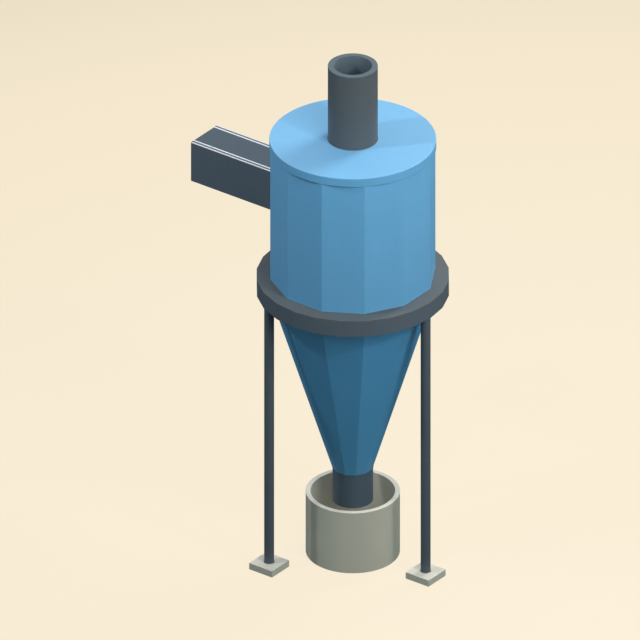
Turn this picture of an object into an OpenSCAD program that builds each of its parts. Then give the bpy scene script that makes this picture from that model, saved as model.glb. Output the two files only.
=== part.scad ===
// Cyclone dust separator on three posts, with a dust bin under its spout.
// The origin is on the cyclone's axis at floor level, +Z is up, and the inlet duct runs to -X.
// The barrel and the cone are press-braked sheet: flat panels that meet at tight bends.

/* [Barrel] */
// Flat panels around the barrel and the cone
flats = 12; // [12:12:24]
// Radius of the barrel over its bends
barrel_r = 501; // [440:1:560]
// Sheet thickness of the barrel
barrel_wall = 5; // [3:0.5:8]
// Outside radius of the bends between the panels of the barrel and the cone
bend_r = 16; // [10:1:30]
// Height of the barrel above the support ring
barrel_rise = 876; // [700:5:1100]

/* [Cone] */
// Height of the cone below its flange
cone_h = 1223; // [1000:1:1300]
// Height of the straight collar at the cone's top
collar_h = 15; // [10:1:40]
// Radius of the cone's lower end over its bends
cone_low_r = 124.5; // [121:0.5:128]
// Sheet thickness of the cone
cone_wall = 4; // [3:0.5:6]

/* [Dust spout] */
// Outside radius of the spout tube
spout_r = 122; // [119:0.5:125]
// Wall of the spout tube
spout_wall = 5; // [4:0.5:8]
// Length of the spout tube below the cone
spout_len = 225; // [190:5:300]

/* [Flange joint inside the ring] */
// Height of the flange joint above the ring's lower edge
joint_rise = 15; // [14:1:20]
// Width of the two flanges
flange_w = 34; // [30:1:36]
// Thickness of the flanges
flange_t = 8; // [6:1:10]
// Thickness of the gaskets
gasket_t = 3; // [2:0.5:5]
// Bolts on each flat panel's flange
bolts_per_flat = 2; // [2:1:3]
// Thread diameter of the joint bolts and the lid studs
bolt_d = 10; // [8:2:10]
// Height of a bolt head
head_h = 6.4; // [5:0.2:7]
// Height of a nut
nut_h = 8.4; // [6:0.2:10]
// Thread that shows past a nut
thread_past = 4; // [2:0.5:6]

/* [Support ring] */
// Flat faces around the support ring
ring_flats = 24; // [24:24:48]
// How far the ring's corners stand out past the barrel's bends
ring_out = 80; // [76:1:100]
// Height of the ring
ring_h = 110; // [95:1:140]
// Plate thickness of the ring, its shoes and its gussets
ring_plate = 8; // [6:1:10]
// Distance between the two gussets over each post
gusset_gap = 72; // [64:1:80]
// Width of the shoe plate over each post
shoe_w = 100; // [94:1:110]

/* [Posts] */
// Length of a post
post_len = 1746; // [1600:1:1900]
// Outside radius of a post
post_r = 30; // [26:0.5:31]
// Wall of a post
post_wall = 4; // [3:0.5:6]
// How far a post's axis lies inside the ring's corners
post_inset = 35; // [33:0.5:40]
// Length of the spigots inside the two ends of a post
spigot_len = 90; // [60:5:150]

/* [Foot pads] */
// Side of a square foot pad
pad_w = 172; // [140:1:200]
// Thickness of a foot pad
pad_t = 44; // [25:1:60]
// Chamfer along a foot pad's upper edges
pad_chamfer = 1.5; // [1:0.5:4]

/* [Lid] */
// How far the lid's rim stands out past the barrel's bends
lid_out = 0; // [0:0.5:20]
// Height of the lid's turned-down rim
lid_h = 55; // [45:1:70]
// Sheet thickness of the lid pan
lid_wall = 5; // [4:0.5:8]
// Corner radius where the lid turns down
lid_bend = 4; // [2:0.5:8]
// Width of the barrel's top ring at the panels, from their outside to its round hole
seat_w = 58; // [45:1:75]
// Thickness of the barrel's top ring and the lid's base ring
seat_t = 8; // [6:1:10]
// Number of lid studs
studs = 12; // [8:4:24]
// Stiffening webs inside the lid
webs = 6; // [4:1:8]
// Thickness of a stiffening web
web_t = 6; // [4:1:8]

/* [Outlet pipe] */
// Outside radius of the outlet casing
outlet_r = 150; // [145:1:170]
// Wall of the outlet casing
outlet_wall = 4; // [3:0.5:6]
// Height of the outlet above the lid
outlet_h = 501; // [300:1:700]
// Inside radius of the vortex finder
finder_r = 116; // [100:1:120]
// Wall of the vortex finder
finder_wall = 4; // [3:0.5:6]
// Depth of the vortex finder's lower end below the inlet duct's floor
finder_below = 56; // [20:1:60]
// Thickness of the ring that closes the outlet's rim
end_ring_t = 5; // [3:0.5:8]
// Width of the vortex finder's mounting flange
finder_flange_w = 36; // [20:1:50]

/* [Inlet duct] */
// Outside width of the duct
duct_w = 254; // [220:2:300]
// Height of the duct from its floor to the top of its edge bars
duct_h = 271; // [220:1:320]
// Distance from the cyclone's axis to the duct's open end
duct_reach = 1387; // [900:1:1600]
// Height of the duct's floor above the support ring
duct_rise = 69; // [60:1:200]
// Sheet thickness of the duct
duct_wall = 4; // [3:0.5:6]
// Outside radius of the duct's folded lower edges
duct_bend_r = 9; // [7:0.5:15]
// Width of the edge bar on the near side
bar_near_w = 21; // [16:1:40]
// Width of the edge bar on the far side
bar_far_w = 18; // [14:1:40]
// Thickness of the edge bars
bar_t = 2; // [2:0.5:6]
// Width of a sealant bead
bead_w = 7.5; // [5:0.5:10]
// How far a bead stands out past the bars and the duct's sides
bead_t = 1.5; // [1:0.5:3]
// How far a corner bead laps over its bar
bead_lap = 2.5; // [2:0.5:6]
// How far a corner bead reaches down the duct's side
bead_drop = 4; // [3:0.5:10]

/* [Dust bin] */
// Outside radius of the bin
bin_r = 283; // [250:1:320]
// Wall of the bin
bin_wall = 30; // [20:1:40]
// Height of the bin
bin_h = 414; // [380:1:460]
// Thickness of the bin's floor
bin_floor = 20; // [12:1:30]
// Corner radius on the bin's rim and foot
bin_round = 3; // [2:0.5:6]
// Corner radius where the bin's wall meets its floor
bin_cove = 25; // [10:1:40]

/* [Hidden] */
// Gap between pieces that slide into or around one another
fit = 0.3;
// Gap between a bolt and its hole
hole_gap = 0.5;
// Gap between a bolt's thread and its nut, as drawn
thread_gap = 0.1;
// Gap that a gusset's notch keeps over the nuts of the flange joint
notch_gap = 3;
// Number of posts
posts = 3;
// Flat strips that a bend is drawn with
bend_steps = 4;

// Points of a regular polygon, from its corner radius and the direction of its first corner.
function ngon(r, n, first) = [
    for (i = [0 : n - 1])
        let (turn = first + i * 360 / n)
            r * [cos(turn), sin(turn)]
];
// Corner radius of a regular polygon from the distance to its flats.
function over_corners(a, n) = a / cos(180 / n);
// Distance to the flats of a regular polygon from its corner radius.
function to_flats(r, n) = r * cos(180 / n);
// Points on an arc about a centre, from one angle to another.
function arc(c, r, from, to, steps) = [
    for (i = [0 : steps])
        let (turn = from + (to - from) * i / steps)
            c + r * [cos(turn), sin(turn)]
];
// The same polygon with its corners bent to a radius, from the radius over its sharp corners.
function bent(r, n, b) = [
    for (i = [0 : n - 1])
        let (turn = (i + 0.5) * 360 / n)
            each arc(
                (r - b / cos(180 / n)) * [cos(turn), sin(turn)], b,
                turn - 180 / n, turn + 180 / n, bend_steps
            )
];

// Heights, upward from the floor
ring_z = pad_t + post_len;
ring_top_z = ring_z + ring_h;
cone_top_z = ring_z + joint_rise;
barrel_z = cone_top_z + gasket_t;
cone_z = cone_top_z - cone_h;
spout_z = cone_z - spout_len;
barrel_top_z = ring_top_z + barrel_rise;
lid_z = barrel_top_z + gasket_t;
lid_top_z = lid_z + lid_h;
outlet_top_z = lid_top_z + outlet_h;
duct_z = ring_top_z + duct_rise;
duct_top_z = duct_z + duct_h;
cover_z = duct_top_z - bar_t - duct_wall;
finder_z = duct_z - finder_below;

// Distances from the axis
barrel_a = to_flats(barrel_r, flats);
barrel_in_r = over_corners(barrel_a - barrel_wall, flats);
ring_r = barrel_r + ring_out;
ring_a = to_flats(ring_r, ring_flats);
flange_a = barrel_a + flange_w;
bolt_a = barrel_a + flange_w * 0.55;
post_circle_r = ring_r - post_inset;
lid_r = barrel_r + lid_out;
seat_r = barrel_a - seat_w;
stud_circle_r = (seat_r + barrel_a - barrel_wall) / 2;
finder_out_r = finder_r + finder_wall;
panel_w = 2 * barrel_r * sin(180 / flats);

// The duct runs along the barrel's +Y flat.
duct_far_y = barrel_a;
duct_near_y = duct_far_y - duct_w;

// The cone's wall, measured level
cone_slope = (barrel_r - cone_low_r) * cos(180 / flats) / (cone_h - collar_h);
cone_wall_level = cone_wall * sqrt(1 + cone_slope * cone_slope);

// Fasteners
hex_r = 1.6 * bolt_d / 2 / cos(30);
joint_grip = 2 * flange_t + gasket_t;
lid_grip = seat_t + gasket_t;

steel_blue = [0.35, 0.57, 0.73];
lid_blue = [0.55, 0.77, 0.95];
cone_blue = [0.22, 0.42, 0.55];
slate = [0.26, 0.31, 0.35];
ring_grey = [0.33, 0.37, 0.42];
pale_bead = [0.85, 0.9, 0.94];
bin_grey = [0.58, 0.6, 0.55];
rubber = [0.1, 0.1, 0.1];
zinc = [0.7, 0.72, 0.74];

// Raises flat outlines from one height to another.
module upright(z0, z1) {
    translate([0, 0, z0])
        linear_extrude(z1 - z0)
            children();
}

// Outline along the barrel's panels with sharp corners, by its distance to the flats.
module panel_outline(a) {
    polygon(ngon(over_corners(a, flats), flats, 180 / flats));
}

// Outline along the support ring's faces, by its distance to the flats. A corner lies over each post.
module ring_outline(a) {
    polygon(ngon(over_corners(a, ring_flats), ring_flats, 0));
}

// A round tube or washer between two heights.
module tube(r_out, r_in, z0, z1) {
    upright(z0, z1)
        difference() {
            circle(r = r_out, $fn = 96);
            circle(r = r_in, $fn = 96);
        }
}

// Points of a bent outline at a height.
function bent_at(r, b, z) = [for (p = bent(r, flats, b)) [p[0], p[1], z]];

// A shell with panels and bends, open at both ends. Each level, from the lowest up, is the shell's
// radius over its corners and the height of that radius.
module bent_shell(levels, b, drop, wall) {
    outside = [for (level = levels) bent_at(level[0], b, level[1])];
    inside = [for (level = levels) bent_at(level[0] - drop, b - wall, level[1])];
    top = len(levels) - 1;
    loops = concat(outside, [for (i = [top : -1 : 0]) inside[i]]);
    m = len(loops);
    n = len(loops[0]);
    faces = [
        for (k = [0 : m - 1], i = [0 : n - 1])
            let (next_k = (k + 1) % m, next_i = (i + 1) % n)
                [k * n + i, next_k * n + i, next_k * n + next_i, k * n + next_i]
    ];
    polyhedron(points = [for (loop = loops) each loop], faces = faces);
}

// Places its children at each bolt of the flange joint.
module at_joint_bolts() {
    pitch = panel_w / bolts_per_flat;
    for (i = [0 : flats - 1], j = [0 : bolts_per_flat - 1])
        rotate(i * 360 / flats)
            translate([bolt_a, (j + 0.5) * pitch - panel_w / 2, 0])
                children();
}

// Places its children at each lid stud.
module at_lid_studs() {
    for (i = [0 : studs - 1])
        rotate((i + 0.5) * 360 / studs)
            translate([stud_circle_r, 0, 0])
                children();
}

// Places its children at each post, turned to face outward.
module at_posts() {
    for (i = [0 : posts - 1])
        rotate(i * 360 / posts)
            translate([post_circle_r, 0, 0])
                children();
}

// Centre of post i, from 0.
function post_at(i) = post_circle_r * [cos(i * 360 / posts), sin(i * 360 / posts)];

// Lid: a pressed pan, its rim turned down over the edge.
module lid_pan() {
    hole_r = finder_out_r + fit;
    section = concat(
        [[hole_r, lid_top_z - lid_wall], [lid_r - lid_wall, lid_top_z - lid_wall]],
        [[lid_r - lid_wall, lid_z], [lid_r, lid_z]],
        arc([lid_r - lid_bend, lid_top_z - lid_bend], lid_bend, 0, 90, bend_steps),
        [[hole_r, lid_top_z]]
    );
    color(lid_blue)
        rotate_extrude($fn = 96)
            polygon(section);
}

// Flat ring inside the pan's rim that seats on the gasket.
module lid_base_ring() {
    color(lid_blue)
        tube(lid_r - lid_wall - fit, seat_r, lid_z, lid_z + seat_t);
}

// Radial webs that carry the lid's top plate.
module lid_webs() {
    web_z = lid_z + seat_t;
    web_start = finder_out_r + finder_flange_w + fit;
    color(lid_blue)
        for (i = [0 : webs - 1])
            rotate(i * 360 / webs)
                translate([web_start, -web_t / 2, web_z])
                    cube([lid_r - lid_wall - 1 - web_start, web_t, lid_top_z - lid_wall - web_z]);
}

// Gasket between the barrel's top and the lid.
module lid_gasket() {
    color(rubber)
        difference() {
            upright(barrel_top_z, lid_z)
                panel_outline(barrel_a);
            translate([0, 0, barrel_top_z - 1])
                cylinder(h = gasket_t + 2, r = seat_r, $fn = 96);
            at_lid_studs()
                translate([0, 0, barrel_top_z - 1])
                    cylinder(h = gasket_t + 2, d = bolt_d + 2 * hole_gap, $fn = 32);
        }
}

// Studs welded under the lid's base ring.
module lid_studs() {
    stud_len = lid_grip + nut_h + thread_past;
    color(zinc)
        at_lid_studs()
            translate([0, 0, lid_z - stud_len])
                cylinder(h = stud_len, d = bolt_d, $fn = 32);
}

// Nuts on the lid studs, under the barrel's top ring.
module lid_nuts() {
    color(zinc)
        at_lid_studs()
            translate([0, 0, barrel_top_z - seat_t - nut_h])
                nut();
}

// A plain hexagon nut standing on its lower face.
module nut() {
    difference() {
        cylinder(h = nut_h, r = hex_r, $fn = 6);
        translate([0, 0, -1])
            cylinder(h = nut_h + 2, d = bolt_d + 2 * thread_gap, $fn = 32);
    }
}

// Outer casing of the outlet pipe.
module outlet_casing() {
    color(slate)
        tube(outlet_r, outlet_r - outlet_wall, lid_top_z, outlet_top_z - end_ring_t);
}

// Flat ring that closes the gap between the casing and the vortex finder.
module outlet_end_ring() {
    color(slate)
        tube(outlet_r, finder_r, outlet_top_z - end_ring_t, outlet_top_z);
}

// Inner tube that leads the clean air up from the middle of the vortex.
module vortex_finder() {
    color(slate)
        tube(finder_out_r, finder_r, finder_z, outlet_top_z - end_ring_t);
}

// Flange that hangs the vortex finder under the lid.
module finder_flange() {
    color(slate)
        tube(
            finder_out_r + finder_flange_w, finder_out_r + fit,
            lid_top_z - lid_wall - seat_t, lid_top_z - lid_wall
        );
}

// The air passage of the inlet duct, from its open end into the barrel.
module duct_passage() {
    bend_x = -barrel_r * sin(180 / flats);
    translate([-duct_reach - 1, duct_near_y + duct_wall, duct_z + duct_wall])
        cube([duct_reach + 1 + bend_x, duct_w - 2 * duct_wall, cover_z - duct_z - duct_wall]);
}

// Barrel: panels bent from sheet, with the opening for the duct.
module barrel_shell() {
    color(steel_blue)
        difference() {
            upright(barrel_z, barrel_top_z)
                difference() {
                    polygon(bent(barrel_r, flats, bend_r));
                    polygon(bent(barrel_in_r, flats, bend_r - barrel_wall));
                }
            duct_passage();
        }
}

// Ring inside the barrel's top edge that the lid bolts to.
module barrel_top_ring() {
    color(steel_blue)
        difference() {
            upright(barrel_top_z - seat_t, barrel_top_z)
                polygon(bent(barrel_in_r - fit, flats, bend_r - barrel_wall));
            translate([0, 0, barrel_top_z - seat_t - 1])
                cylinder(h = seat_t + 2, r = seat_r, $fn = 96);
            at_lid_studs()
                translate([0, 0, barrel_top_z - seat_t - 1])
                    cylinder(h = seat_t + 2, d = bolt_d + 2 * hole_gap, $fn = 32);
        }
}

// A drilled flange plate of the joint.
module drilled_ring(a_out, a_in, z0, z1) {
    difference() {
        upright(z0, z1)
            difference() {
                panel_outline(a_out);
                panel_outline(a_in);
            }
        at_joint_bolts()
            translate([0, 0, z0 - 1])
                cylinder(h = z1 - z0 + 2, d = bolt_d + 2 * hole_gap, $fn = 32);
    }
}

// Flange around the barrel's lower edge.
module barrel_flange() {
    color(ring_grey)
        drilled_ring(flange_a, barrel_a + fit, barrel_z, barrel_z + flange_t);
}

// Gasket between the barrel and the cone.
module joint_gasket() {
    color(rubber)
        drilled_ring(flange_a, barrel_a - barrel_wall, cone_top_z, barrel_z);
}

// Flange around the cone's upper edge.
module cone_flange() {
    color(ring_grey)
        drilled_ring(flange_a, barrel_a + fit, cone_top_z - flange_t, cone_top_z);
}

// Cone: tapering panels bent from sheet, under a short straight collar.
module cone_shell() {
    levels = [[cone_low_r, cone_z], [barrel_r, cone_top_z - collar_h], [barrel_r, cone_top_z]];
    drop = over_corners(cone_wall_level, flats);
    color(cone_blue)
        bent_shell(levels, bend_r, drop, cone_wall_level);
}

// Dust spout under the cone, open at its lower end.
module dust_spout() {
    color(slate)
        tube(spout_r, spout_r - spout_wall, spout_z, cone_z);
}

// Bolts of the flange joint, heads downward.
module joint_bolts() {
    shank = joint_grip + nut_h + thread_past;
    color(zinc)
        at_joint_bolts() {
            translate([0, 0, cone_top_z - flange_t - head_h])
                cylinder(h = head_h, r = hex_r, $fn = 6);
            translate([0, 0, cone_top_z - flange_t - 1])
                cylinder(h = shank + 1, d = bolt_d, $fn = 32);
        }
}

// Nuts of the flange joint.
module joint_nuts() {
    color(zinc)
        at_joint_bolts()
            translate([0, 0, barrel_z + flange_t])
                nut();
}

// Top plate of the support ring, fitted round the barrel.
module ring_top_plate() {
    color(ring_grey)
        upright(ring_top_z - ring_plate, ring_top_z)
            difference() {
                ring_outline(ring_a);
                panel_outline(barrel_a + fit);
            }
}

// Outer band of the support ring, a skirt round the flange joint.
module ring_band() {
    color(ring_grey)
        upright(ring_z, ring_top_z - ring_plate)
            difference() {
                ring_outline(ring_a);
                ring_outline(ring_a - ring_plate);
            }
}

// Everything inside the band, less a fitting gap.
module band_inside(z0, z1) {
    upright(z0, z1)
        ring_outline(ring_a - ring_plate - fit);
}

// Shoe plates that close the ring over each post.
module ring_shoes() {
    color(ring_grey)
        intersection() {
            for (i = [0 : posts - 1])
                rotate(i * 360 / posts)
                    translate([flange_a + 1, -shoe_w / 2, ring_z])
                        cube([ring_out, shoe_w, ring_plate]);
            band_inside(ring_z, ring_z + ring_plate);
        }
}

// Pairs of notched gussets between each shoe and the ring's top plate.
module ring_gussets() {
    low = ring_z + ring_plate;
    high = ring_top_z - ring_plate;
    notch_z = barrel_z + flange_t + nut_h + thread_past + notch_gap;
    color(ring_grey)
        intersection() {
            for (i = [0 : posts - 1], side = [-1, 1])
                rotate(i * 360 / posts)
                    translate([0, side * (gusset_gap + ring_plate) / 2 + ring_plate / 2, 0])
                        rotate([90, 0, 0])
                            linear_extrude(ring_plate)
                                polygon([
                                    [flange_a + 1, low],
                                    [ring_r, low],
                                    [ring_r, high],
                                    [barrel_a + fit, high],
                                    [barrel_a + fit, notch_z],
                                    [flange_a + 1, notch_z],
                                ]);
            band_inside(low, high);
        }
}

// A post: a round tube from a foot pad to the ring.
module post(i) {
    color(slate)
        translate(post_at(i))
            tube(post_r, post_r - post_wall, pad_t, ring_z);
}

// Post at the +X side.
module post_1() {
    post(0);
}

// Post at the rear left.
module post_2() {
    post(1);
}

// Post at the front left.
module post_3() {
    post(2);
}

// Spigots under the shoes, inside the posts' upper ends.
module head_spigots() {
    color(zinc)
        at_posts()
            translate([0, 0, ring_z - spigot_len])
                cylinder(h = spigot_len, r = post_r - post_wall - fit, $fn = 64);
}

// Spigots on the foot pads, inside the posts' lower ends.
module foot_spigots() {
    color(zinc)
        at_posts()
            translate([0, 0, pad_t])
                cylinder(h = spigot_len, r = post_r - post_wall - fit, $fn = 64);
}

// A square foot pad with chamfered upper edges.
module foot_pad(i) {
    half = pad_w / 2;
    outline = [[-half, 0], [half, 0], [half, pad_t - pad_chamfer], [half - pad_chamfer, pad_t],
        [pad_chamfer - half, pad_t], [-half, pad_t - pad_chamfer]];
    color(bin_grey)
        translate(post_at(i))
            intersection() {
                translate([0, half, 0])
                    rotate([90, 0, 0])
                        linear_extrude(pad_w)
                            polygon(outline);
                translate([-half, 0, 0])
                    rotate([90, 0, 90])
                        linear_extrude(pad_w)
                            polygon(outline);
            }
}

// Pad under the post at the +X side.
module foot_pad_1() {
    foot_pad(0);
}

// Pad under the post at the rear left.
module foot_pad_2() {
    foot_pad(1);
}

// Pad under the post at the front left.
module foot_pad_3() {
    foot_pad(2);
}

// Trims a duct piece to the barrel's panels.
module trim_to_barrel() {
    difference() {
        children();
        upright(barrel_z, barrel_top_z)
            panel_outline(barrel_a + fit);
    }
}

// Runs a section, given across and upward, along the duct to the bend where its far side meets the
// barrel.
module along_duct(section) {
    translate([-duct_reach, 0, 0])
        rotate([90, 0, 90])
            linear_extrude(duct_reach - panel_w / 2)
                polygon(section);
}

// Section of a bar, by its near face, width and heights.
function bar_section(y, w, z0, z1) = [[y, z0], [y + w, z0], [y + w, z1], [y, z1]];

// Section of a bead around an upper corner of the duct. Side is 1 for the corner away from the axis.
function corner_section(y, side) = [
    [y, duct_top_z - bead_drop],
    [y, duct_top_z],
    [y - side * bead_lap, duct_top_z],
    [y - side * bead_lap, duct_top_z + bead_t],
    [y + side * bead_t, duct_top_z + bead_t],
    [y + side * bead_t, duct_top_z - bead_drop],
];

// Floor and both sides of the duct, folded from one sheet.
module duct_trough() {
    near_c = [duct_near_y + duct_bend_r, duct_z + duct_bend_r];
    far_c = [duct_far_y - duct_bend_r, duct_z + duct_bend_r];
    inner_r = duct_bend_r - duct_wall;
    section = concat(
        [[duct_near_y, cover_z]],
        arc(near_c, duct_bend_r, 180, 270, bend_steps),
        arc(far_c, duct_bend_r, 270, 360, bend_steps),
        [[duct_far_y, cover_z], [duct_far_y - duct_wall, cover_z]],
        arc(far_c, inner_r, 360, 270, bend_steps),
        arc(near_c, inner_r, 270, 180, bend_steps),
        [[duct_near_y + duct_wall, cover_z]]
    );
    color(slate)
        trim_to_barrel()
            along_duct(section);
}

// Cover plate on the duct's two sides.
module duct_cover() {
    color(ring_grey)
        trim_to_barrel()
            along_duct(bar_section(duct_near_y, duct_w, cover_z, cover_z + duct_wall));
}

// Edge bar on the cover's near side.
module duct_bar_near() {
    color(slate)
        trim_to_barrel()
            along_duct(bar_section(duct_near_y, bar_near_w, duct_top_z - bar_t, duct_top_z));
}

// Edge bar on the cover's far side.
module duct_bar_far() {
    color(slate)
        trim_to_barrel()
            along_duct(bar_section(duct_far_y - bar_far_w, bar_far_w, duct_top_z - bar_t, duct_top_z));
}

// Sealant beads around the duct's upper corners and along the bars' inner edges.
module duct_sealant() {
    low = duct_top_z - bar_t;
    high = duct_top_z + bead_t;
    near_y = duct_near_y + bar_near_w;
    far_y = duct_far_y - bar_far_w - bead_w;
    color(pale_bead)
        trim_to_barrel() {
            along_duct(corner_section(duct_near_y, -1));
            along_duct(bar_section(near_y, bead_w, low, high));
            along_duct(bar_section(far_y, bead_w, low, high));
            along_duct(corner_section(duct_far_y, 1));
        }
}

// Moulded dust bin that stands on the floor under the spout.
module dust_bin() {
    in_r = bin_r - bin_wall;
    section = concat(
        [[0, 0]],
        arc([bin_r - bin_round, bin_round], bin_round, -90, 0, bend_steps),
        arc([bin_r - bin_round, bin_h - bin_round], bin_round, 0, 90, bend_steps),
        arc([in_r + bin_round, bin_h - bin_round], bin_round, 90, 180, bend_steps),
        arc([in_r - bin_cove, bin_floor + bin_cove], bin_cove, 0, -90, 2 * bend_steps),
        [[0, bin_floor]]
    );
    color(bin_grey)
        rotate_extrude($fn = 96)
            polygon(section);
}

lid_pan();
lid_base_ring();
lid_webs();
lid_gasket();
lid_studs();
lid_nuts();
outlet_casing();
outlet_end_ring();
vortex_finder();
finder_flange();
barrel_shell();
barrel_top_ring();
barrel_flange();
joint_gasket();
cone_flange();
cone_shell();
dust_spout();
joint_bolts();
joint_nuts();
ring_top_plate();
ring_band();
ring_shoes();
ring_gussets();
post_1();
post_2();
post_3();
head_spigots();
foot_spigots();
foot_pad_1();
foot_pad_2();
foot_pad_3();
duct_trough();
duct_cover();
duct_bar_near();
duct_bar_far();
duct_sealant();
dust_bin();
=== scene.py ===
"""Looks of the cyclone dust separator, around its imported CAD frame."""

import math

import bpy
import bmesh
from mathutils import Matrix, Vector


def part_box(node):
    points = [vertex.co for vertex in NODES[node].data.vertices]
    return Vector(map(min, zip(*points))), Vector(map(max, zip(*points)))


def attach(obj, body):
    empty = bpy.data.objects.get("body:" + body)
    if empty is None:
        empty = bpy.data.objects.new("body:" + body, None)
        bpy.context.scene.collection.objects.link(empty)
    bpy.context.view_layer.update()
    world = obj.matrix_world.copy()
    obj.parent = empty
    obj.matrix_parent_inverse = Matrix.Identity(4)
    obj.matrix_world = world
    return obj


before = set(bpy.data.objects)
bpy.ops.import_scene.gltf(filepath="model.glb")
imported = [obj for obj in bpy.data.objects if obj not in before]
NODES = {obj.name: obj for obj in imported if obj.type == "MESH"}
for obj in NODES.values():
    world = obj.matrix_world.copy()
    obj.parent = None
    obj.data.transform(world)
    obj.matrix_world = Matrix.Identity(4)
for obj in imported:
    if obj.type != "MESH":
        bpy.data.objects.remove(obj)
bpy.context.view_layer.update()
TAU = 2 * math.pi


# ---- Sizes, read from the frame, in metres ----

def low(node):
    """The low corner of a node's box."""
    return Vector(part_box(node)[0])


def high(node):
    """The high corner of a node's box."""
    return Vector(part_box(node)[1])


FLATS = 12  # the panels of the barrel and the cone; panel 0 faces +X, panel 3 faces +Y
FLAT_SHARE = math.cos(math.pi / FLATS)  # the distance to a panel's middle over that to its bends
PANEL_A = high("barrel_shell").y  # from the axis to the middle of a barrel panel
BARREL_FOOT_Z = high("ring_top_plate").z
BARREL_TOP_Z = high("barrel_shell").z
CONE_FOOT_Z = low("cone_shell").z
CONE_FOOT_A = high("dust_spout").y * FLAT_SHARE
SPOUT_R = high("dust_spout").x
RING_FOOT_Z = low("ring_band").z
PAD_TOP_Z = high("foot_pad_1").z
POST_R = (high("post_1").y - low("post_1").y) / 2
OUTLET_R = high("outlet_casing").x
LID_TOP_Z = low("outlet_casing").z
LID_FOOT_Z = low("lid_pan").z
BIN_WALL = 0.030  # as in the part's source
BIN_BORE_R = high("dust_bin").x - BIN_WALL


# ---- Nodes of materials and the world ----

def srgb(r, g, b):
    """A colour of 0 to 255 as Blender's linear colour."""
    out = []
    for c in (r / 255, g / 255, b / 255):
        out.append(c / 12.92 if c <= 0.04045 else ((c + 0.055) / 1.055) ** 2.4)
    return (*out, 1.0)


class Graph:
    """A short way to build the nodes of a material or of the world."""

    def __init__(self, owner, space="Object"):
        owner.use_nodes = True
        self.owner = owner
        self.tree = owner.node_tree
        self.tree.nodes.clear()
        self.coord = self.add("ShaderNodeTexCoord").outputs[space]

    def add(self, kind, inputs=None, **values):
        """A new node with its properties, and its sockets set or linked."""
        node = self.tree.nodes.new(kind)
        for key, value in values.items():
            setattr(node, key, value)
        for key, value in (inputs or {}).items():
            self.put(node.inputs[key], value)
        return node

    def put(self, socket, value):
        """Sets a socket from a number, vector or colour, or links it."""
        if isinstance(value, (int, float, tuple)):
            socket.default_value = value
        else:
            self.tree.links.new(value, socket)

    def finish(self, shader, kind="ShaderNodeOutputMaterial"):
        """Gives the shader to the output, and returns the material or world."""
        self.add(kind, {"Surface": shader})
        return self.owner

    def noise(self, scale, detail=2.0, rough=0.5, vector=None):
        inputs = {"Scale": scale, "Detail": detail, "Roughness": rough, "Vector": vector or self.coord}
        return self.add("ShaderNodeTexNoise", inputs).outputs["Fac"]

    def stretched(self, x, y, z):
        """The coordinates, scaled along each axis."""
        return self.add("ShaderNodeMapping", {"Vector": self.coord, "Scale": (x, y, z)}).outputs["Vector"]

    def axis(self, vector, name):
        return self.add("ShaderNodeSeparateXYZ", {"Vector": vector}).outputs[name]

    def ramp(self, value, a0, a1, b0, b1, shape="SMOOTHSTEP"):
        """A value that goes from b0 to b1 while the given one goes from a0 to a1."""
        inputs = {"Value": value, "From Min": a0, "From Max": a1, "To Min": b0, "To Max": b1}
        return self.add("ShaderNodeMapRange", inputs, interpolation_type=shape).outputs["Result"]

    def spread(self, noise, lowest, highest, usual=(0.3, 0.7)):
        """Noise, which mostly stays in the usual range, as a value from lowest to highest."""
        return self.ramp(noise, *usual, lowest, highest)

    def times(self, *values):
        product = values[0]
        for value in values[1:]:
            inputs = {0: product, 1: value}
            product = self.add("ShaderNodeMath", inputs, operation="MULTIPLY").outputs["Value"]
        return product

    def mix(self, factor, a, b):
        """A colour between a and b."""
        node = self.add("ShaderNodeMix", {"Factor": factor}, data_type="RGBA")
        for socket, color in zip([s for s in node.inputs if s.type == "RGBA"], (a, b)):
            self.put(socket, color)
        return [s for s in node.outputs if s.type == "RGBA"][0]

    def shade(self, color, value):
        """A colour made darker or lighter."""
        return self.add("ShaderNodeHueSaturation", {"Color": color, "Value": value}).outputs["Color"]

    def colors(self, value, shades):
        """A colour by the value, from pairs of position and colour."""
        node = self.add("ShaderNodeValToRGB", {"Fac": value})
        points = node.color_ramp.elements
        while len(points) < len(shades):
            points.new(0.5)
        for point, (position, color) in zip(points, shades):
            point.position = position
            point.color = color
        return node.outputs["Color"]

    def bump(self, height, strength, distance, normal=None):
        inputs = {"Strength": strength, "Distance": distance, "Height": height}
        if normal is not None:
            inputs["Normal"] = normal
        return self.add("ShaderNodeBump", inputs).outputs["Normal"]

    def up(self):
        """How far a face looks upward, from -1 to 1."""
        return self.axis(self.add("ShaderNodeNewGeometry").outputs["True Normal"], "Z")

    def emission(self, color):
        return self.add("ShaderNodeEmission", {"Color": color}).outputs["Emission"]

    def surface(self, color, roughness, normal, metallic=0.0, specular=0.5, glow=0.0):
        """The material, from the sockets of its looks."""
        shader = self.add("ShaderNodeBsdfPrincipled", {
            "Base Color": color, "Roughness": roughness, "Normal": normal, "Metallic": metallic,
            "Specular IOR Level": specular, "Emission Color": GLOW_COLOR, "Emission Strength": glow,
        })
        return self.finish(shader.outputs["BSDF"])


# ---- Materials. Noise scales are in patterns per metre, and bump heights in metres. ----

SEMI_GLOSS = 0.45  # roughness of the blue paints
SATIN = 0.5  # roughness of the grey paints
PAINT_TONE = 0.03
PAINT_SPECULAR = 0.3
RUBBER_ROUGH = 0.75
RUBBER_SPECULAR = 0.3
ZINC_METALLIC = 0.9
SEALANT_ROUGH = 0.4
# painted light: the sealant glows faintly, though it is no lamp
SEALANT_GLOW = 0.2
GLOW_COLOR = (0.84, 0.94, 1.0, 1.0)
BIN_TONE = 0.015
BIN_ROUGH = 0.22
BORE_BLEND = (0.002, 0.006)  # where the bin's inner look ends, from its bore into its wall


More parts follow.
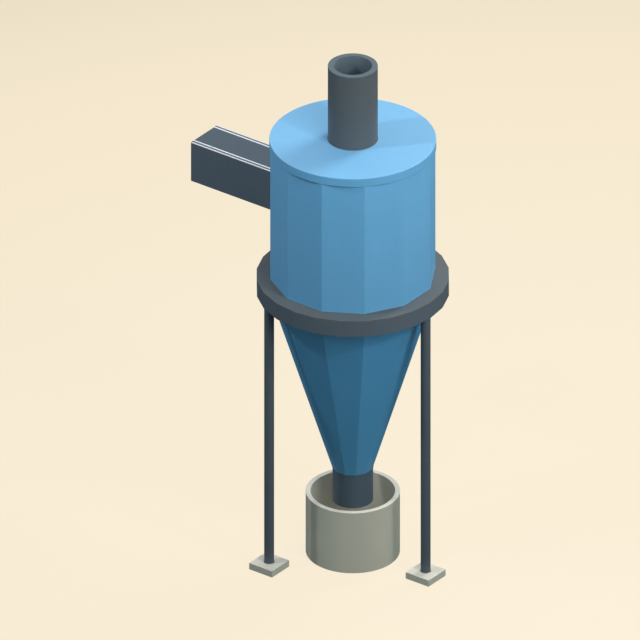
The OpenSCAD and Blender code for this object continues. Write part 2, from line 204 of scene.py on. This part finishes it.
def paint(name, color, rough=SATIN, painted_shade=None, sides=None):
    """Sprayed paint: broad tone changes, a faint mottle, orange peel and uneven gloss.

    painted_shade is (low height, its tone, high height, its tone): painted shade that darkens the paint
    downward and painted light that lightens it upward;
    sides is the colour of the upright faces, where it differs, so that the faces that look up keep a
    lighter colour: painted light on the top.
    """
    g = Graph(bpy.data.materials.new(name))
    # painted light: the faces that look up keep the given colour, and the upright ones take the sides
    # colour
    if sides:
        color = g.mix(g.ramp(g.up(), 0.3, 0.7, 0.0, 1.0), sides, color)
    broad = g.spread(g.noise(1.6, 3.0), 1 - PAINT_TONE / 2, 1 + PAINT_TONE / 2)
    mottle = g.spread(g.noise(26.0, 4.0, 0.6), 1 - PAINT_TONE / 3, 1 + PAINT_TONE / 3)
    streaks = g.noise(1.0, 3.0, 0.6, g.stretched(16, 16, 0.9))
    runs = g.spread(streaks, 1 - PAINT_TONE / 3, 1 + PAINT_TONE / 4, (0.35, 0.7))
    value = g.times(broad, mottle, runs)
    # painted shade and light: the tone follows the height
    if painted_shade:
        z_low, tone_low, z_high, tone_high = painted_shade
        painted_shading = g.ramp(g.axis(g.coord, "Z"), z_low, z_high, tone_low, tone_high, "LINEAR")
        value = g.times(value, painted_shading)
    gloss = g.spread(g.noise(7.0, 4.0, 0.6), rough - 0.05, rough + 0.08, (0.3, 0.72))
    grain = g.bump(g.noise(330.0, 2.0), 0.12, 0.0006)
    peel = g.bump(g.noise(5.0, 2.0), 0.05, 0.004, grain)
    return g.surface(g.shade(color, value), gloss, peel, specular=PAINT_SPECULAR)


def plastic(name, color, pale, inner_painted_light):
    """Satin moulded plastic with a fine texture, paler in patches on the faces that look up, painted light
    on the tops, and lighter and less green on the inner wall, painted light in the bore.
    """
    g = Graph(bpy.data.materials.new(name))
    broad = g.spread(g.noise(2.2, 3.0), 1 - BIN_TONE, 1 + BIN_TONE)
    speck = g.spread(g.noise(160.0, 3.0, 0.65), 1 - BIN_TONE, 1 + BIN_TONE, (0.35, 0.68))
    base = g.shade(color, g.times(broad, speck))
    off_axis = g.add("ShaderNodeVectorMath", {0: g.stretched(1, 1, 0)}, operation="LENGTH").outputs["Value"]
    inside = g.ramp(off_axis, BIN_BORE_R + BORE_BLEND[0], BIN_BORE_R + BORE_BLEND[1], 1.0, 0.0)
    # painted light: the inner wall has its own lighter, less green colour
    base = g.mix(inside, base, inner_painted_light)
    # painted light: the faces that look up turn paler in patches
    painted_shading = g.ramp(g.up(), 0.55, 0.95, 0.0, 1.0)
    patchy = g.times(painted_shading, g.spread(g.noise(9.0, 4.0, 0.6), 0.85, 1.0, (0.25, 0.75)))
    base = g.mix(patchy, base, pale)
    gloss = g.spread(g.noise(12.0, 3.0), BIN_ROUGH - 0.03, BIN_ROUGH + 0.04)
    return g.surface(base, gloss, g.bump(g.noise(700.0, 2.0), 0.08, 0.0003))


def metal(name, color):
    """Bright zinc with the faint crystals of its coating."""
    g = Graph(bpy.data.materials.new(name))
    cells = g.add("ShaderNodeTexVoronoi", {"Vector": g.coord, "Scale": 180.0}).outputs["Distance"]
    value = g.ramp(cells, 0.0, 0.7, 0.9, 1.08)
    gloss = g.spread(g.noise(60.0, 4.0), 0.3, 0.48)
    grain = g.bump(g.noise(240.0), 0.1, 0.0004)
    return g.surface(g.shade(color, value), gloss, grain, metallic=ZINC_METALLIC)


def rubber(name, color):
    """Black rubber with a matt, slightly uneven skin."""
    g = Graph(bpy.data.materials.new(name))
    value = g.spread(g.noise(45.0, 3.0), 0.85, 1.15)
    grain = g.bump(g.noise(500.0), 0.2, 0.0004)
    return g.surface(g.shade(color, value), RUBBER_ROUGH, grain, specular=RUBBER_SPECULAR)


def sealant(name, color):
    """Tooled white sealant, slightly uneven along its length, with a faint glow: painted light that makes
    it brighter than the lamps light it.
    """
    g = Graph(bpy.data.materials.new(name))
    value = g.spread(g.noise(14.0, 4.0), 0.97, 1.02)
    ripple = g.bump(g.noise(1.0, 2.0, 0.5, g.stretched(45, 160, 160)), 0.25, 0.001)
    return g.surface(g.shade(color, value), SEALANT_ROUGH, ripple, glow=SEALANT_GLOW)


BARREL_BLUE = srgb(105, 180, 228)
# painted shade and light: the barrel's blue is 5 per cent darker at the ring and 4 per cent lighter at the
# lid
BARREL_PAINTED_SHADE = (BARREL_FOOT_Z, 0.95, BARREL_TOP_Z, 1.04)
PAINTS = {
    # painted light: the lid's top is a lighter copy of the barrel's blue, and its rim keeps the barrel's
    # blue
    "lid_paint": dict(color=srgb(123, 190, 236), rough=SEMI_GLOSS, sides=BARREL_BLUE),
    "barrel_paint": dict(color=BARREL_BLUE, rough=SEMI_GLOSS, painted_shade=BARREL_PAINTED_SHADE),
    # painted shade: the cone's blue is a darker copy of the barrel's, for the shade under the ring
    "cone_paint": dict(color=srgb(80, 164, 214), rough=SEMI_GLOSS),
    # The greys are copies of one slate paint, each made lighter, darker or less blue for the light and
    # shade on its part: painted light and painted shade. The bore is lighter, the spout and the posts
    # darker, and the ring top less blue against the blue light bounced from the barrel.
    "pipe_paint": dict(color=srgb(85, 96, 100)),
    "slate_paint": dict(color=srgb(96, 114, 126)),
    "bore_paint": dict(color=srgb(101, 118, 129)),
    "post_paint": dict(color=srgb(84, 100, 110)),
    "spout_paint": dict(color=srgb(79, 100, 115)),
    "ring_paint": dict(color=srgb(87, 104, 116)),
    "rim_paint": dict(color=srgb(91, 108, 118)),
    "ring_top_paint": dict(color=srgb(96, 106, 109)),
    "cover_paint": dict(color=srgb(85, 103, 116)),
}
MATERIALS = {name: paint(name, **looks) for name, looks in PAINTS.items()}
MATERIALS["sealant"] = sealant("sealant", srgb(246, 250, 254))
MATERIALS["gasket_rubber"] = rubber("gasket_rubber", srgb(30, 31, 33))
MATERIALS["zinc_steel"] = metal("zinc_steel", srgb(188, 194, 200))
# painted light: paler on the bin's rim and the pads' tops, and lighter and less green inside the bin
MATERIALS["bin_grey"] = plastic(
    "bin_grey", color=srgb(203, 212, 196), pale=srgb(226, 230, 218), inner_painted_light=srgb(214, 215, 204),
)


# ---- The CAD nodes ----

# The finish of each node.
FINISH = {
    "lid_paint": ("lid_pan", "lid_base_ring", "lid_webs"),
    "barrel_paint": ("barrel_shell", "barrel_top_ring"),
    "cone_paint": ("cone_shell",),
    "pipe_paint": ("outlet_casing", "finder_flange"),
    "rim_paint": ("outlet_end_ring",),
    "bore_paint": ("vortex_finder",),
    "slate_paint": ("duct_trough", "duct_bar_near", "duct_bar_far"),
    "post_paint": ("post_1", "post_2", "post_3"),
    "spout_paint": ("dust_spout",),
    "ring_paint": ("barrel_flange", "cone_flange", "ring_band", "ring_shoes", "ring_gussets"),
    "ring_top_paint": ("ring_top_plate",),
    "cover_paint": ("duct_cover",),
    "sealant": ("duct_sealant",),
    "gasket_rubber": ("lid_gasket", "joint_gasket"),
    "zinc_steel": ("lid_studs", "lid_nuts", "joint_bolts", "joint_nuts", "head_spigots", "foot_spigots"),
    "bin_grey": ("foot_pad_1", "foot_pad_2", "foot_pad_3", "dust_bin"),
}

# The width of the rounded edges in metres, and the nodes where it differs from the usual.
USUAL_EDGE = 0.0012
OTHER_EDGES = {
    0.0004: ("lid_gasket", "joint_gasket"),
    0.0006: ("duct_bar_near", "duct_bar_far", "lid_studs", "lid_nuts", "joint_bolts", "joint_nuts"),
    0.0007: ("duct_sealant",),
    0.0016: ("foot_pad_1", "foot_pad_2", "foot_pad_3"),
}
EDGES = {node: width for width, nodes in OTHER_EDGES.items() for node in nodes}
JOIN_WITHIN = 0.00001  # metres
FLAT_WITHIN = math.radians(0.4)
SHARP_OVER = math.radians(40)
EDGE_STEPS = 2
FACE_WEIGHT = 90


def soften(obj, width):
    """Joins the split vertices, rounds the sharp edges and shades the flats as flats."""
    join = obj.modifiers.new("join", "WELD")
    join.merge_threshold = JOIN_WITHIN
    flats = obj.modifiers.new("flats", "DECIMATE")
    flats.decimate_type = "DISSOLVE"
    flats.angle_limit = FLAT_WITHIN
    edges = obj.modifiers.new("edges", "BEVEL")
    edges.width = width
    edges.segments = EDGE_STEPS
    edges.limit_method = "ANGLE"
    edges.angle_limit = SHARP_OVER
    edges.use_clamp_overlap = True
    normals = obj.modifiers.new("normals", "WEIGHTED_NORMAL")
    normals.weight = FACE_WEIGHT
    normals.keep_sharp = False


for finish, names in FINISH.items():
    for node_name in names:
        node = NODES[node_name]
        node.data.materials.clear()
        node.data.materials.append(MATERIALS[finish])
        soften(node, EDGES.get(node_name, USUAL_EDGE))


# ---- Welds, seams and the bead under the lid, in metres ----

WELD_R = 0.003
RING_WELD_R = 0.0035
DUCT_WELD_R = 0.004
SEAM_R = 0.002
WELD_STEP = 0.002
WELD_SIDES = 8
RIPPLE_LENGTH = 0.008
RIPPLE_SHARE = 0.06  # of the radius
CIRCLE_STEP = 0.006
CORNER_CUT = 0.0005
ASLANT = Vector((0.31, 0.17, 0.93))  # a direction that no path runs along
ROUND = [(math.cos(TAU * k / WELD_SIDES), math.sin(TAU * k / WELD_SIDES)) for k in range(WELD_SIDES)]


def add_object(name, bm, material):
    """Puts a finished bmesh into the scene."""
    mesh = bpy.data.meshes.new(name)
    bm.to_mesh(mesh)
    bm.free()
    mesh.materials.append(material)
    obj = bpy.data.objects.new(name, mesh)
    bpy.context.scene.collection.objects.link(obj)
    return obj


def resample(points, closed):
    """Points at even steps along a path."""
    ends = points + points[:1] if closed else points
    out = []
    for a, b in zip(ends, ends[1:]):
        count = max(1, round((b - a).length / WELD_STEP))
        out += [a.lerp(b, i / count) for i in range(count)]
    return out if closed else out + [ends[-1]]


def add_weld(name, paths, radius, finish):
    """Rippled beads along paths of (points, closed)."""
    bm = bmesh.new()
    for corners, closed in paths:
        points = resample(corners, closed)
        n = len(points)
        rings = []
        for i, p in enumerate(points):
            before = points[i - 1] if i or closed else p
            after = points[(i + 1) % n] if i < n - 1 or closed else p
            along = (after - before).normalized()
            side = along.cross(ASLANT).normalized()
            up = side.cross(along)
            r = radius * (1 + RIPPLE_SHARE * math.sin(TAU * i * WELD_STEP / RIPPLE_LENGTH))
            rings.append([bm.verts.new(p + r * (side * c + up * s)) for c, s in ROUND])
        pairs = zip(rings, rings[1:] + rings[:1]) if closed else zip(rings, rings[1:])
        for a, b in pairs:
            for k in range(WELD_SIDES):
                j = (k + 1) % WELD_SIDES
                bm.faces.new((a[k], a[j], b[j], b[k])).smooth = True
        if not closed:
            bm.faces.new(rings[0][::-1])
            bm.faces.new(rings[-1])
    bmesh.ops.recalc_face_normals(bm, faces=bm.faces)
    weld = add_object(name, bm, MATERIALS[finish])
    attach(weld, "root")


def circle(x, y, z, r):
    """A level circle."""
    count = round(TAU * r / CIRCLE_STEP)
    turns = [TAU * i / count for i in range(count)]
    return [Vector((x + r * math.cos(turn), y + r * math.sin(turn), z)) for turn in turns], True


def panel_turn(i):
    """The direction of panel i; i and a half gives the bend after it."""
    return i * TAU / FLATS


def panels_at(a, z):
    """The outline along the panels, its corners cut to follow the bends."""
    r = a / FLAT_SHARE - CORNER_CUT
    turns = [panel_turn(i + 0.5) for i in range(FLATS)]
    return [Vector((r * math.cos(turn), r * math.sin(turn), z)) for turn in turns], True


def circles_at_posts(z):
    """A circle around each post."""
    centres = [(low(name) + high(name)) / 2 for name in ("post_1", "post_2", "post_3")]
    return [circle(centre.x, centre.y, z, POST_R) for centre in centres]


DUCT_PANELS = (4, 5)  # the panels that the duct's top, bottom and near side end on


def panel_x(y):
    """The barrel's -X side at a distance y from the axis."""
    turns = [panel_turn(i) for i in DUCT_PANELS]
    return max((PANEL_A - y * math.sin(turn)) / math.cos(turn) for turn in turns)


def duct_path():
    """Around the duct where it meets the barrel, a little outside its four sides."""
    near, far = low("duct_trough").y, PANEL_A
    bottom, top = low("duct_trough").z, high("duct_cover").z
    bend = PANEL_A / FLAT_SHARE * math.sin(panel_turn(DUCT_PANELS[0] + 0.5))
    across = [(panel_x(y), y) for y in (near, bend, far)]
    lower = [Vector((x, y, bottom)) for x, y in across]
    upper = [Vector((x, y, top)) for x, y in reversed(across)]
    return lower + upper, True


SEAM_PANEL = 2  # at the rear, away from the camera
SEAM_UNDER_LID = 0.004  # how far the barrel's seam ends below its upper edge
SEAM_OVER_SPOUT = 0.002  # how far the cone's seam starts above its lower edge


def seam(*ends):
    """A seam up the middle of a panel, between ends of (distance from the axis, height)."""
    turn = panel_turn(SEAM_PANEL)
    return [Vector((a * math.cos(turn), a * math.sin(turn), z)) for a, z in ends], False


BEAD_INSET = 0.001  # how far the lid's bead is let into the panels
BEAD_Z = (BARREL_TOP_Z + LID_FOOT_Z) / 2

add_weld("weld_ring_plate", [panels_at(PANEL_A, BARREL_FOOT_Z)], RING_WELD_R, "ring_paint")
add_weld("weld_outlet_foot", [circle(0, 0, LID_TOP_Z, OUTLET_R)], WELD_R, "pipe_paint")
add_weld("weld_spout", [circle(0, 0, CONE_FOOT_Z, SPOUT_R)], WELD_R, "spout_paint")
add_weld("weld_post_heads", circles_at_posts(RING_FOOT_Z), WELD_R, "post_paint")
add_weld("weld_post_feet", circles_at_posts(PAD_TOP_Z), WELD_R, "post_paint")
add_weld("bead_lid", [panels_at(PANEL_A - BEAD_INSET, BEAD_Z)], WELD_R, "barrel_paint")
add_weld("weld_duct", [duct_path()], DUCT_WELD_R, "slate_paint")
add_weld(
    "seam_barrel", [seam((PANEL_A, BARREL_FOOT_Z), (PANEL_A, BARREL_TOP_Z - SEAM_UNDER_LID))],
    SEAM_R, "barrel_paint",
)
add_weld(
    "seam_cone", [seam((CONE_FOOT_A, CONE_FOOT_Z + SEAM_OVER_SPOUT), (PANEL_A, RING_FOOT_Z))],
    SEAM_R, "cone_paint",
)


# ---- Floor and surroundings ----

# The floor's colour by the distance in metres from its brightest place, in front of the object and to its
# right, a pool of painted light; and the share of it that takes light and shadow; the rest glows.
FLOOR_CENTRE = (1.5, 0.06, 0.0)
FLOOR_SPAN = 10.0
FLOOR_SHADES = (
    (0.0, (252, 240, 219)), (1.5, (251, 239, 216)), (3.0, (251, 239, 215)), (4.2, (250, 238, 214)),
    (5.3, (249, 237, 212)), (6.2, (249, 236, 211)), (7.1, (248, 235, 209)), (8.3, (240, 229, 202)),
)
FLOOR_RECEIVES = 0.10
FLOOR_R = 70.0
FLOOR_SIDES = 128
FLOOR_DROP = 0.0004  # keeps the floor clear of the feet's faces

BACKDROP_COLOR = srgb(243, 231, 205)
BACKDROP_R = 69.0
DOME_SIDES = 96
DOME_BANDS = 48
DOME_LEVEL = 0.001  # just over the horizon, so that its own points stay with the lower half

# What satin surfaces reflect below the horizon, by the share of a turn from -X: bright in front of
# the object and straight behind it, and dark between.
BOWL_TINT = (0.5, 1.0, 1.1)
BOWL_BRIGHT = 0.12
BOWL_BEHIND = 0.10
BOWL_DARK = 0.01
BOWL_TURNS = (
    (0.0, BOWL_DARK), (0.032, BOWL_DARK), (0.056, BOWL_BRIGHT), (0.665, BOWL_BRIGHT), (0.70, BOWL_DARK),
    (0.78, BOWL_DARK), (0.80, BOWL_BEHIND), (0.90, BOWL_BEHIND), (0.93, BOWL_DARK),
)
BOWL_R = 60.0

# Mean brightness of the sky's two halves, and how each rises toward +X and +Y.
SKY_ABOVE = (0.35, -0.175, 0.09)
SKY_BELOW = (0.233, -0.088, 0.215)
HORIZON_BLUR = 0.05
WHITE = (1.0, 1.0, 1.0, 1.0)


def seen_by(obj, camera, glossy):
    """The stage pieces light nothing: each shows only in the picture or in the satin surfaces."""
    obj.visible_camera = camera
    obj.visible_glossy = glossy
    obj.visible_diffuse = False
    obj.visible_transmission = False
    obj.visible_volume_scatter = False
    obj.visible_shadow = False


def add_floor():
    """A pale floor with painted light that brightens it toward the front right, and which takes a faint
    shadow.
    """
    g = Graph(bpy.data.materials.new("floor"))
    far = g.add("ShaderNodeVectorMath", {0: g.coord, 1: FLOOR_CENTRE}, operation="DISTANCE")
    shades = [(distance / FLOOR_SPAN, srgb(*color)) for distance, color in FLOOR_SHADES]
    color = g.colors(g.times(far.outputs["Value"], 1 / FLOOR_SPAN), shades)
    matt = g.add("ShaderNodeBsdfDiffuse", {"Color": color}).outputs["BSDF"]
    both = g.add("ShaderNodeMixShader", {"Fac": FLOOR_RECEIVES, 1: g.emission(color), 2: matt})
    bm = bmesh.new()
    bmesh.ops.create_circle(bm, cap_ends=True, cap_tris=False, segments=FLOOR_SIDES, radius=FLOOR_R)
    floor = add_object("floor", bm, g.finish(both.outputs["Shader"]))
    floor.location = (0, 0, -FLOOR_DROP)
    seen_by(floor, camera=True, glossy=False)


def add_dome(name, radius, material, lower_only=False):
    """A sphere around the scene, or its lower half."""
    bm = bmesh.new()
    bmesh.ops.create_uvsphere(bm, u_segments=DOME_SIDES, v_segments=DOME_BANDS, radius=radius)
    if lower_only:
        upper = [v for v in bm.verts if v.co.z > DOME_LEVEL]
        bmesh.ops.delete(bm, geom=upper, context="VERTS")
    dome = add_object(name, bm, material)
    return dome


def add_backdrop():
    """A round backdrop far behind the floor, for the low views."""
    g = Graph(bpy.data.materials.new("backdrop"))
    dome = add_dome("backdrop", BACKDROP_R, g.finish(g.emission(BACKDROP_COLOR)))
    seen_by(dome, camera=True, glossy=False)


def add_bowl():
    """The lower half of the surroundings, as reflections see it."""
    g = Graph(bpy.data.materials.new("bowl"))
    turn = g.add("ShaderNodeTexGradient", {"Vector": g.coord}, gradient_type="RADIAL").outputs["Fac"]
    shades = [(share, (*(level * tint for tint in BOWL_TINT), 1.0)) for share, level in BOWL_TURNS]
    material = g.finish(g.emission(g.colors(turn, shades)))
    bowl = add_dome("bowl", BOWL_R, material, lower_only=True)
    seen_by(bowl, camera=False, glossy=True)


def add_world():
    """A soft sky whose brightness changes evenly with the direction, above and below the horizon."""
    world = bpy.data.worlds.new("studio")
    bpy.context.scene.world = world
    g = Graph(world, space="Generated")
    levels = []
    for mean, east, north in (SKY_BELOW, SKY_ABOVE):
        slope = g.add("ShaderNodeVectorMath", {0: g.coord, 1: (east, north, 0.0)}, operation="DOT_PRODUCT")
        level = g.add("ShaderNodeMath", {0: slope.outputs["Value"], 1: mean}, operation="ADD")
        levels.append(level.outputs["Value"])
    above = g.ramp(g.axis(g.coord, "Z"), -HORIZON_BLUR, HORIZON_BLUR, 0.0, 1.0, "LINEAR")
    strength = g.add("ShaderNodeMix", {"Factor": above, "A": levels[0], "B": levels[1]})
    sky = g.add("ShaderNodeBackground", {"Color": WHITE, "Strength": strength.outputs["Result"]})
    g.finish(sky.outputs["Background"], "ShaderNodeOutputWorld")


# ---- Camera and lamps ----

ELEVATION = math.radians(29.25)
SIDE = Vector((0.8, 0.6, 0.0))  # to the right in the picture
# Toward the camera.
BACK = Vector((0.6 * math.cos(ELEVATION), -0.8 * math.cos(ELEVATION), math.sin(ELEVATION)))
UP = BACK.cross(SIDE)
TARGET = SIDE * -0.1969 + UP * 1.3824  # the middle of the picture
PICTURE_WIDTH = 3.84
CAMERA_DISTANCE = 16.0
CAMERA_REACH = 200.0

# Directions in degrees from the object, azimuth from +X toward +Y; sizes in metres, power in watts.
LAMPS = {
    "key": dict(azimuth=80, elevation=46, distance=7.0, size=2.6, power=225, color=(1.0, 0.94, 0.89)),
    "front": dict(azimuth=350, elevation=39, distance=7.0, size=0.4, power=95, color=(1.0, 0.76, 0.70)),
    "left": dict(azimuth=230, elevation=44, distance=7.0, size=0.4, power=116, color=(1.0, 0.93, 0.98)),
    "fill": dict(azimuth=346, elevation=22, distance=7.0, size=3.5, power=132, color=(1.0, 0.87, 0.85)),
    "soft": dict(azimuth=330, elevation=45, distance=6.0, size=3.0, power=86, color=(0.88, 1.0, 1.0)),
}
LAMP_AIM = Vector((0, 0, 2.0))


def add_camera():
    """Parallel view from the photograph's side."""
    data = bpy.data.cameras.new("camera")
    data.type = "ORTHO"
    data.ortho_scale = PICTURE_WIDTH
    data.clip_end = CAMERA_REACH
    camera = bpy.data.objects.new("camera", data)
    bpy.context.scene.collection.objects.link(camera)
    turn = Matrix((SIDE, UP, BACK)).transposed().to_4x4()
    camera.matrix_world = Matrix.Translation(TARGET + BACK * CAMERA_DISTANCE) @ turn
    bpy.context.scene.camera = camera


def toward(azimuth, elevation):
    """A unit vector from two angles in degrees."""
    a, e = math.radians(azimuth), math.radians(elevation)
    return Vector((math.cos(a) * math.cos(e), math.sin(a) * math.cos(e), math.sin(e)))


def add_lamp(name, azimuth, elevation, distance, size, power, color):
    """A round area lamp that looks at LAMP_AIM."""
    data = bpy.data.lights.new(name, "AREA")
    data.shape = "DISK"
    data.size = size
    data.energy = power
    data.color = color
    lamp = bpy.data.objects.new(name, data)
    bpy.context.scene.collection.objects.link(lamp)
    direction = toward(azimuth, elevation)
    lamp.location = LAMP_AIM + direction * distance
    lamp.rotation_euler = direction.to_track_quat("Z", "Y").to_euler()


add_world()
add_floor()
add_backdrop()
add_bowl()
for name, looks in LAMPS.items():
    add_lamp(name, **looks)
add_camera()
bpy.context.scene.view_settings.view_transform = "Standard"
bpy.context.scene.view_settings.look = "None"
